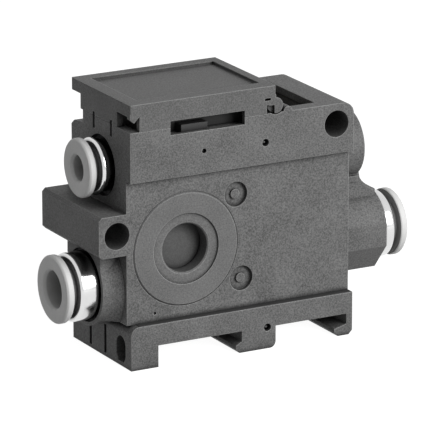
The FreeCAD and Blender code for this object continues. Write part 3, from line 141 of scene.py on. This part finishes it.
def moulded_skin_group():
    """Mottled colour with a painted edge highlight and painted shade, roughness and normal of a moulded
    plastic skin.
    """
    group, given, put_out = finish_group(
        "moulded_skin", ("Mottle", "Grain", "Rounding", "Painted Edge Highlight", "Painted Shade"))
    fine = noise(group, GRAINS_PER_METRE, detail=1.5, roughness=0.65)
    broad = noise(group, CLOUDS_PER_METRE, detail=4)

    soft = group.nodes.new("ShaderNodeBevel")
    soft.samples = EDGE_SAMPLES
    group.links.new(given["Rounding"], soft.inputs["Radius"])
    surface = group.nodes.new("ShaderNodeNewGeometry")
    along = group.nodes.new("ShaderNodeVectorMath")
    along.operation = "DOT_PRODUCT"
    group.links.new(soft.outputs["Normal"], along.inputs[0])
    group.links.new(surface.outputs["Normal"], along.inputs[1])
    edge = mapped(group, along.outputs["Value"], FLAT_TO_EDGE)

    def colour_kept_under_shade(reach, dark_to_open, darkening):
        """Colour kept under painted shade, judged by how open a point is within a reach."""
        shade = mapped(group, openness(group, reach), dark_to_open, (darkening, 0))
        return maths(group, "SUBTRACT", 1, maths(group, "MULTIPLY", shade, given["Painted Shade"]))

    speckle = mapped(group, fine, NOISE_RANGE, SPECKLE_SWING)
    cloud = mapped(group, broad, NOISE_RANGE, CLOUD_SWING)
    mottle = maths(group, "MULTIPLY_ADD", maths(group, "ADD", speckle, cloud), given["Mottle"], 1)
    # Painted highlight: the colour is made lighter along rounded edges.
    mottle_and_edge_highlight = maths(group, "MULTIPLY_ADD", edge, given["Painted Edge Highlight"], mottle)
    # Painted shade: the colour is made darker in corners and in hollows.
    colour_kept = maths(group, "MULTIPLY", colour_kept_under_shade(**CORNER_SHADE), colour_kept_under_shade(**HOLLOW_SHADE))
    level = maths(group, "MULTIPLY", mottle_and_edge_highlight, colour_kept)
    group.links.new(scaled(group, given["Colour"], level), put_out["Colour"])

    group.links.new(mapped(group, broad, NOISE_RANGE, SKIN_ROUGHNESS), put_out["Roughness"])
    bump = bump_node(group, GRAIN_DEPTH, given["Grain"], fine)
    group.links.new(soft.outputs["Normal"], bump.inputs["Normal"])
    group.links.new(bump.outputs["Normal"], put_out["Normal"])
    return group


def plain_material(name, metallic=0.0, specular=0.5):
    """A material with its Principled shader."""
    material = bpy.data.materials.new(name)
    material.use_nodes = True
    shader = material.node_tree.nodes["Principled BSDF"]
    shader.inputs["Metallic"].default_value = metallic
    shader.inputs["Specular IOR Level"].default_value = specular
    return material, shader


def finished_material(name, group, values, metallic=0.0, specular=0.5):
    """A material whose shader takes its finish from a node group."""
    material, shader = plain_material(name, metallic, specular)
    tree = material.node_tree
    finish = tree.nodes.new("ShaderNodeGroup")
    finish.node_tree = group
    for label, value in values.items():
        finish.inputs[label].default_value = value
    for put_out, taken in (("Colour", "Base Color"), ("Roughness", "Roughness"), ("Normal", "Normal")):
        tree.links.new(finish.outputs[put_out], shader.inputs[taken])
    return material


MOULDED_SKIN = moulded_skin_group()


def moulded_plastic(name, colour, mottle, grain, rounding, painted_edge_highlight, specular=0.35, painted_shade=0.9):
    """Moulded plastic from the shared skin."""
    values = {"Colour": (*colour, 1), "Mottle": mottle, "Grain": grain, "Rounding": rounding,
              "Painted Edge Highlight": painted_edge_highlight, "Painted Shade": painted_shade}
    return finished_material(name, MOULDED_SKIN, values, specular=specular)


def dress(node, material):
    """Give a CAD node its material."""
    for slot in nodes[node].material_slots:
        slot.material = material


housing = moulded_plastic("housing_plastic", HOUSING_GREY, mottle=0.75, grain=0.7,
                          rounding=0.25 * MM, painted_edge_highlight=1.3, specular=0.22)
for node in ("rail_base", "valve_body", "pilot_end_cap"):
    dress(node, housing)


# Swept web under the pilot barrel: part of the valve body's moulding. It curves from
# the barrel's end down to the top of the right port boss, behind the flat rib's edge.
WEB_OUTLINE = [(20.4, 26.6), (25.2, 26.6), (25.9, 25.75), (26.0, 25.0), (26.15, 24.25), (26.6, 23.6),
               (27.25, 23.05), (28.1, 22.5), (29.1, 21.95), (29.1, 20.6), (20.4, 20.6)]
WEB_WIDTH = 6.6 * MM
SWEEP_START = 25.1 * MM
WEB_ROUND = 0.5 * MM


def extruded(corners, run):
    """A bar from the corners of its end face and the way that it runs."""
    shape = bmesh.new()
    end = shape.faces.new([shape.verts.new(corner) for corner in corners])
    grown = bmesh.ops.extrude_face_region(shape, geom=[end])
    moved = [part for part in grown["geom"] if isinstance(part, bmesh.types.BMVert)]
    bmesh.ops.translate(shape, verts=moved, vec=run)
    return shape


def moulded_piece(name, shape, body, material, sharp=35):
    """The finished object of a bmesh, riding on a body."""
    bmesh.ops.recalc_face_normals(shape, faces=shape.faces)
    mesh = bpy.data.meshes.new(name)
    shape.to_mesh(mesh)
    shape.free()
    mesh.polygons.foreach_set("use_smooth", [True] * len(mesh.polygons))
    mesh.set_sharp_from_angle(angle=math.radians(sharp))
    mesh.materials.append(material)
    piece = bpy.data.objects.new(name, mesh)
    bpy.context.scene.collection.objects.link(piece)
    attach(piece, body)
    return piece


def on_sweep_rim(edge):
    """Whether an edge is on a rim of the web's swept side, and doesn't run across the web."""
    first, second = (vert.co for vert in edge.verts)
    return abs(first.y - second.y) < WEB_WIDTH / 2 and min(first.x, second.x) > SWEEP_START


shape = extruded([(x * MM, -WEB_WIDTH / 2, z * MM) for x, z in WEB_OUTLINE], (0, WEB_WIDTH, 0))
bmesh.ops.bevel(shape, geom=[edge for edge in shape.edges if on_sweep_rim(edge)], offset=WEB_ROUND,
                affect="EDGES", segments=4, profile=0.5, material=-1)
moulded_piece("swept_web", shape, "housing", housing)


# Root of the lower left port boss: part of the valve body's moulding. It flares into
# the left end face, and it is cut off where the rail base begins.
ROOT_OUTLINE = [(-23.78, 6.15), (-23.78, 6.72), (-23.2, 6.78), (-22.5, 6.95), (-21.9, 7.2),
                (-21.3, 7.6), (-20.62, 8.2), (-20.62, 6.15)]
ROOT_STEPS = 96
ROOT_BOTTOM = 7.3 * MM
MERGE_WITHIN = 0.001 * MM


def middle_height(node):
    """Height of the middle of a CAD node."""
    low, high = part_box(node)
    return (low[2] + high[2]) / 2


def spun(outline, height, steps):
    """A ring about an axis along X at a height, from its outline in (x, radius)."""
    shape = bmesh.new()
    rim = [shape.verts.new((x, 0, height + radius)) for x, radius in outline]
    edges = [shape.edges.new((rim[i - 1], rim[i])) for i in range(len(rim))]
    bmesh.ops.spin(shape, geom=rim + edges, cent=(0, 0, height), axis=(1, 0, 0),
                   angle=2 * math.pi, steps=steps, use_merge=True)
    bmesh.ops.remove_doubles(shape, verts=shape.verts, dist=MERGE_WITHIN)
    return shape


shape = spun([(x * MM, radius * MM) for x, radius in ROOT_OUTLINE],
             middle_height("lower_left_release_ring"), ROOT_STEPS)
bmesh.ops.bisect_plane(shape, geom=shape.verts[:] + shape.edges[:] + shape.faces[:],
                       plane_co=(0, 0, ROOT_BOTTOM), plane_no=(0, 0, -1), clear_outer=True)
bmesh.ops.holes_fill(shape, edges=[edge for edge in shape.edges if edge.is_boundary])
moulded_piece("boss_root", shape, "housing", housing)


# Marks of the core pins in the three small blind holes: a little moulded cone stands on
# the floor of each hole and catches the light. Its grey is lighter than the housing's:
# painted light on the floor of each hole. Radii and places are in millimetres.
CORES = (("vent_core", 4.1, 35.03, 0.42), ("tool_core", -7.2, 35.18, 0.27),
         ("foot_core", 4.55, 3.6, 0.44))
CORE_GREY_PAINTED_LIGHTER = (0.16, 0.16, 0.159)
CORE_HEIGHT, CORE_MIDDLE = 1.3 * MM, -9.15 * MM
CORE_TIP_SHARE = 0.35
CORE_SIDES = 40
core_plastic = moulded_plastic("core_plastic", CORE_GREY_PAINTED_LIGHTER, mottle=0.3, grain=0.3,
                               rounding=0.05 * MM, painted_edge_highlight=0.3, painted_shade=0.3)
for name, x, z, radius in CORES:
    place = Matrix.Translation((x * MM, CORE_MIDDLE, z * MM))
    shape = bmesh.new()
    bmesh.ops.create_cone(shape, segments=CORE_SIDES, cap_ends=True, radius1=radius * MM,
                          radius2=CORE_TIP_SHARE * radius * MM, depth=CORE_HEIGHT,
                          matrix=place @ Matrix.Rotation(math.pi / 2, 4, "X"))
    moulded_piece(name, shape, "housing", core_plastic)


# Gallery insert, pilot piston and blanking disc: smooth dark plastic. The insert is
# pressed into the front panel, and the disc closes the bore behind it. The disc's grey
# is darker than the insert's: painted shade in the bore.
INSERT_GREY = (0.152, 0.152, 0.1512)
BLANK_GREY_PAINTED_DARKER = (0.084, 0.084, 0.0836)
insert = moulded_plastic("insert_plastic", INSERT_GREY, mottle=0.45, grain=0.4,
                         rounding=0.25 * MM, painted_edge_highlight=1.4, specular=0.22)
for node in ("gallery_insert", "pilot_piston"):
    dress(node, insert)
blank = moulded_plastic("blank_plastic", BLANK_GREY_PAINTED_DARKER, mottle=0.3, grain=0.4,
                        rounding=0.1 * MM, painted_edge_highlight=0.3)
dress("gallery_blank", blank)


# Release rings of the three push-in fittings: light grey satin acetal with rounded rims.
# Their hubs slide in the sleeves. Ring and sleeve outlines are in millimetres, under the
# name of the tube that the fitting takes.
PORTS = {"lower_left": dict(face=0, inward=1, tube="six"),
         "right": dict(face=1, inward=-1, tube="six"),
         "upper_left": dict(face=0, inward=1, tube="four")}
RINGS = {"six": dict(hole=3.1, flange=5.65, thick=1.3, hub=6.2),
         "four": dict(hole=2.1, flange=4.87, thick=1.25, hub=5.6)}
COUNTERSINK, RIM, HUB_WALL = 0.5, 0.3, 0.35
BACK_RIM_RUN, BACK_RIM_DROP = 0.2, 0.15
RING_GREY = (0.74, 0.74, 0.734)
RING_ROUND = 0.09 * MM
RING_STEPS = 144
RIM_ANGLE = 0.3


def ring_outline(hole, flange, thick, hub):
    """A release ring's outline in (distance behind its face, radius)."""
    return [(COUNTERSINK, hole), (0, hole + RIM), (0, flange - RIM), (RIM, flange),
            (thick - BACK_RIM_RUN, flange), (thick, flange - BACK_RIM_DROP), (thick, flange - RIM),
            (thick - RIM, flange - RIM), (thick - RIM, hole + HUB_WALL), (hub, hole + HUB_WALL),
            (hub, hole)]


def turned_piece(node, port, outline, rounding, body, material):
    """A turned ring with fine rounded rims that stands for a node of a fitting."""
    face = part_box(port + "_release_ring")[PORTS[port]["face"]][0]
    inward = PORTS[port]["inward"]
    stations = [(face + inward * run * MM, radius * MM) for run, radius in outline]
    shape = spun(stations, middle_height(node), RING_STEPS)
    bmesh.ops.recalc_face_normals(shape, faces=shape.faces)
    rims = [edge for edge in shape.edges if edge.calc_face_angle(0) > RIM_ANGLE]
    bmesh.ops.bevel(shape, geom=rims, offset=rounding, affect="EDGES", segments=3,
                    profile=0.5, material=-1)
    piece = moulded_piece(node + "_seen", shape, body, material)
    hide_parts(node)


ring_plastic = moulded_plastic("ring_plastic", RING_GREY, mottle=0.05, grain=0.05,
                               rounding=0.05 * MM, painted_edge_highlight=0.1, specular=0.5)
for port, side in PORTS.items():
    turned_piece(port + "_release_ring", port, ring_outline(**RINGS[side["tube"]]), RING_ROUND,
                 port + "_release", ring_plastic)


# Sleeves: polished nickel-plated brass, pressed into the body, each with a bright
# rounded front edge. The small one is narrower behind its rim.
SLEEVES = {"six": dict(start=2.35, outer=5.7, waist=5.7, inner=4.15, wide=4.2, seat=5.2, length=4.65),
           "four": dict(start=2.3, outer=4.75, waist=4.35, inner=3.05, wide=3.15, seat=4.2, length=4.1)}
MOUTH_RUN, MOUTH_RISE = 0.1, 0.12
FRONT_EDGE = [(0, -0.5), (0.12, -0.25), (0.35, -0.06), (0.6, 0), (0.7, 0)]
WAIST_START = 0.9
SLEEVE_ROUND = 0.07 * MM
NICKEL = (0.68, 0.68, 0.68)
METAL_CLOUDS_PER_METRE = 420
CLOUD_ROUGHNESS = 0.12
TURNING_LINES = (9000, 60, 60)
LINE_DEPTH = 0.004 * MM
METAL_TONES = (0.9, 1.06)
METAL_SHADE_REACH = 3.5 * MM
METAL_SHADE_OPENNESS, PAINTED_METAL_SHADES = (0.35, 0.8), (0.26, 1)


def metal_group():
    """Fine turning lines, faint cloudiness and painted shade in closed-in places of a metal surface."""
    group, given, put_out = finish_group("metal_finish", ("Rough", "Lines"))
    cloud = noise(group, METAL_CLOUDS_PER_METRE, detail=4)
    lines = noise(group, 1, detail=2, stretch=TURNING_LINES)
    dull = maths(group, "MULTIPLY_ADD", cloud, CLOUD_ROUGHNESS, given["Rough"])
    group.links.new(dull, put_out["Roughness"])
    tone = mapped(group, cloud, (0, 1), METAL_TONES)
    # Painted shade: the metal's colour is made darker where it is closed in.
    shade = mapped(group, openness(group, METAL_SHADE_REACH), METAL_SHADE_OPENNESS, PAINTED_METAL_SHADES)
    level = maths(group, "MULTIPLY", tone, shade)
    group.links.new(scaled(group, given["Colour"], level), put_out["Colour"])
    bump = bump_node(group, LINE_DEPTH, given["Lines"], lines)
    group.links.new(bump.outputs["Normal"], put_out["Normal"])
    return group


METAL_FINISH = metal_group()


def metal(name, colour, rough, lines):
    """A metal from the shared finish."""
    values = {"Colour": (*colour, 1), "Rough": rough, "Lines": lines}
    return finished_material(name, METAL_FINISH, values, metallic=1.0)


def sleeve_outline(start, outer, waist, inner, wide, seat, length):
    """A sleeve's outline in (distance behind the ring's face, radius)."""
    outline = [(MOUTH_RUN, inner), (0, inner + MOUTH_RISE)]
    outline += [(run, outer + rise) for run, rise in FRONT_EDGE]
    outline += [(WAIST_START, waist), (wide, waist), (wide, seat), (length, seat), (length, inner)]
    return [(start + run, radius) for run, radius in outline]


nickel = metal("nickel_brass", NICKEL, rough=0.1, lines=0.0)
for port, side in PORTS.items():
    turned_piece(port + "_sleeve", port, sleeve_outline(**SLEEVES[side["tube"]]), SLEEVE_ROUND,
                 "housing", nickel)


# Collets: dark acetal tubes behind the release rings, seen in the gap between ring
# and sleeve. Each carries a chuck at its inner end.
COLLET_GREY = (0.38, 0.38, 0.38)
collet_plastic = moulded_plastic("collet_plastic", COLLET_GREY, mottle=0.1, grain=0.1,
                                 rounding=0.1 * MM, painted_edge_highlight=0.2, specular=0.4, painted_shade=0.3)
for port in PORTS:
    dress(port + "_collet", collet_plastic)


# Metal parts: stainless steel chucks that hold the tubes, zinc-plated base screws and
# hinge pin, a turned aluminium spool and brass contacts in the socket.
steel = metal("collet_steel", (0.58, 0.58, 0.59), rough=0.22, lines=0.5)
zinc = metal("screw_steel", (0.5, 0.51, 0.53), rough=0.3, lines=0.4)
turned_metal = metal("spool_metal", (0.72, 0.72, 0.73), rough=0.16, lines=0.8)
brass = metal("contact_brass", (0.8, 0.65, 0.35), rough=0.2, lines=0.2)
for port in PORTS:
    dress(port + "_chuck", steel)
for node in ("base_screws", "hinge_pin"):
    dress(node, zinc)
dress("spool", turned_metal)
dress("contact_pins", brass)


# Seal rings: black nitrile rubber. A thin sheet of the same rubber is wrapped over the
# front rim of the base's ledge: a dark strip that paints the shade line on the ledge.
RUBBER_BLACK = (0.026, 0.026, 0.026)
SHADE_STRIP_START, SHADE_STRIP_END = -19.0 * MM, 20.42 * MM
SHADE_STRIP_OUTLINE = [(-8.3, 7.2), (-10.02, 7.2), (-10.1, 7.26), (-10.12, 7.3), (-10.1, 7.34),
                  (-10.02, 7.37), (-8.3, 7.37)]
rubber = moulded_plastic("seal_rubber", RUBBER_BLACK, mottle=0.25, grain=0.3,
                         rounding=0.05 * MM, painted_edge_highlight=0.3, specular=0.4, painted_shade=0.4)
for port in PORTS:
    dress(port + "_tube_seal", rubber)
for node in ("insert_seal", "gallery_seal", "spool_seals", "piston_seal"):
    dress(node, rubber)
# Painted shade: a thin black strip on the ledge stands in for the shade line there.
shape = extruded([(SHADE_STRIP_START, y * MM, z * MM) for y, z in SHADE_STRIP_OUTLINE],
                 (SHADE_STRIP_END - SHADE_STRIP_START, 0, 0))
moulded_piece("shade_strip", shape, "housing", rubber)


# Return spring: steel wire wound between the end of the spool's bore and the spool.
# The coil shortens towards the end of the bore when the spool is pushed over.
SPRING_WIRE = 0.3 * MM
WIRE_SIDES = 12
SPRING_TURNS, STEPS_PER_TURN = 5, 36
low, high = (Vector(corner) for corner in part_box("return_spring"))
middle = (low + high) / 2
coil = (high.y - low.y) / 2 - SPRING_WIRE
steps = SPRING_TURNS * STEPS_PER_TURN
advance = (high.x - low.x - 2 * SPRING_WIRE) / steps
start = Matrix.Translation((low.x + SPRING_WIRE, middle.y, middle.z - coil))
shape = bmesh.new()
bmesh.ops.create_circle(shape, segments=WIRE_SIDES, radius=SPRING_WIRE,
                        matrix=start @ Matrix.Rotation(math.pi / 2, 4, "X"))
bmesh.ops.spin(shape, geom=shape.verts[:] + shape.edges[:], cent=(low.x, middle.y, middle.z),
               axis=(1, 0, 0), dvec=(advance, 0, 0), angle=2 * math.pi * SPRING_TURNS, steps=steps)
bmesh.ops.holes_fill(shape, edges=[edge for edge in shape.edges if edge.is_boundary], sides=WIRE_SIDES)
spring = moulded_piece("return_spring_seen", shape, "housing", steel, sharp=60)
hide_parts("return_spring")
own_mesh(spring)


# Pilot unit: a near black moulded block under the lid. The button of the manual
# override stands in its well, in the same acetal as the release rings.
PILOT_BLACK = (0.044, 0.044, 0.044)
pilot = moulded_plastic("pilot_plastic", PILOT_BLACK, mottle=0.25, grain=0.2,
                        rounding=0.15 * MM, painted_edge_highlight=0.3)
dress("pilot_unit", pilot)
button_plastic = moulded_plastic("button_plastic", RING_GREY, mottle=0.05, grain=0.05,
                                 rounding=0.2 * MM, painted_edge_highlight=0.12, specular=0.5)
dress("override_button", button_plastic)


# Lid: the same plastic as the body from another mould, a touch smoother. It turns on
# the hinge pin at its right end, and its rims get a strong painted highlight.
LID_GREY = (0.122, 0.122, 0.1212)
lid = moulded_plastic("lid_plastic", LID_GREY, mottle=0.6, grain=0.6,
                      rounding=0.25 * MM, painted_edge_highlight=1.5, specular=0.22)
dress("top_cover", lid)


# Studio: a pale floor under a soft grey dome, with one large soft lamp in front, to
# the right and above. Floor and dome show white to the camera and to shiny surfaces.
FLOOR_SIZE = 3
FLOOR_GREY = (0.3, 0.3, 0.3, 1)
FLOOR_SHOWN = 0.95
WHITE = (1, 1, 1, 1)
DOME_LIGHTS = (0.26, 1)
LAMP_WAY = Vector((0.3, -0.85, 0.42)).normalized()
LAMP_AIM = Vector((0, 0, 22 * MM))
LAMP_DISTANCE, LAMP_SIZE, LAMP_WATTS = 0.6, 0.35, 3.4


def seen_rays(tree):
    """1 for rays from the camera and from shiny surfaces, otherwise 0."""
    path = tree.nodes.new("ShaderNodeLightPath")
    return maths(tree, "MAXIMUM", path.outputs["Is Camera Ray"], path.outputs["Is Glossy Ray"])


def facing(away):
    """The turn of a lamp or camera that stands on this side and looks back."""
    return away.to_track_quat("Z", "Y").to_matrix().to_4x4()


floor_mesh = bpy.data.meshes.new("floor")
shape = bmesh.new()
bmesh.ops.create_grid(shape, x_segments=1, y_segments=1, size=FLOOR_SIZE)
shape.to_mesh(floor_mesh)
shape.free()
floor = bpy.data.objects.new("floor", floor_mesh)
bpy.context.scene.collection.objects.link(floor)
floor_material, floor_shader = plain_material("floor_white", specular=0.0)
floor_shader.inputs["Base Color"].default_value = FLOOR_GREY
floor_shader.inputs["Roughness"].default_value = 1
floor_shader.inputs["Emission Color"].default_value = WHITE
tree = floor_material.node_tree
shown = maths(tree, "MULTIPLY", seen_rays(tree), FLOOR_SHOWN)
tree.links.new(shown, floor_shader.inputs["Emission Strength"])
floor_mesh.materials.append(floor_material)

world = bpy.data.worlds.new("studio")
bpy.context.scene.world = world
world.use_nodes = True
tree = world.node_tree
dome = tree.nodes["Background"]
dome.inputs["Color"].default_value = WHITE
tree.links.new(mapped(tree, seen_rays(tree), (0, 1), DOME_LIGHTS), dome.inputs["Strength"])

lamp = bpy.data.lights.new("key", "AREA")
lamp.shape = "SQUARE"
lamp.size = LAMP_SIZE
lamp.energy = LAMP_WATTS
holder = bpy.data.objects.new("key", lamp)
holder.matrix_world = Matrix.Translation(LAMP_AIM + LAMP_WAY * LAMP_DISTANCE) @ facing(LAMP_WAY)
bpy.context.scene.collection.objects.link(holder)


# Camera: the photograph's viewing angle through a long lens, from the front left and
# a little above, fitted to the straight edges of the valve body.
TURN = math.radians(-28.728)
RISE = math.radians(16.634)
AIM = Vector((-4.99, -10.86, 23.78)) * MM
DISTANCE = 745.65 * MM
PICTURE = 436
FOCAL_PIXELS = 4623.05
SENSOR = 36.0
NEAREST_SEEN = 0.01
back = Vector((math.sin(TURN) * math.cos(RISE), -math.cos(TURN) * math.cos(RISE), math.sin(RISE)))
lens = bpy.data.cameras.new("camera")
lens.sensor_width = SENSOR
lens.lens = SENSOR * FOCAL_PIXELS / PICTURE
lens.clip_start = NEAREST_SEEN
camera = bpy.data.objects.new("camera", lens)
camera.matrix_world = Matrix.Translation(AIM + back * DISTANCE) @ facing(back)
bpy.context.scene.collection.objects.link(camera)
bpy.context.scene.camera = camera
bpy.context.scene.view_settings.view_transform = "Standard"
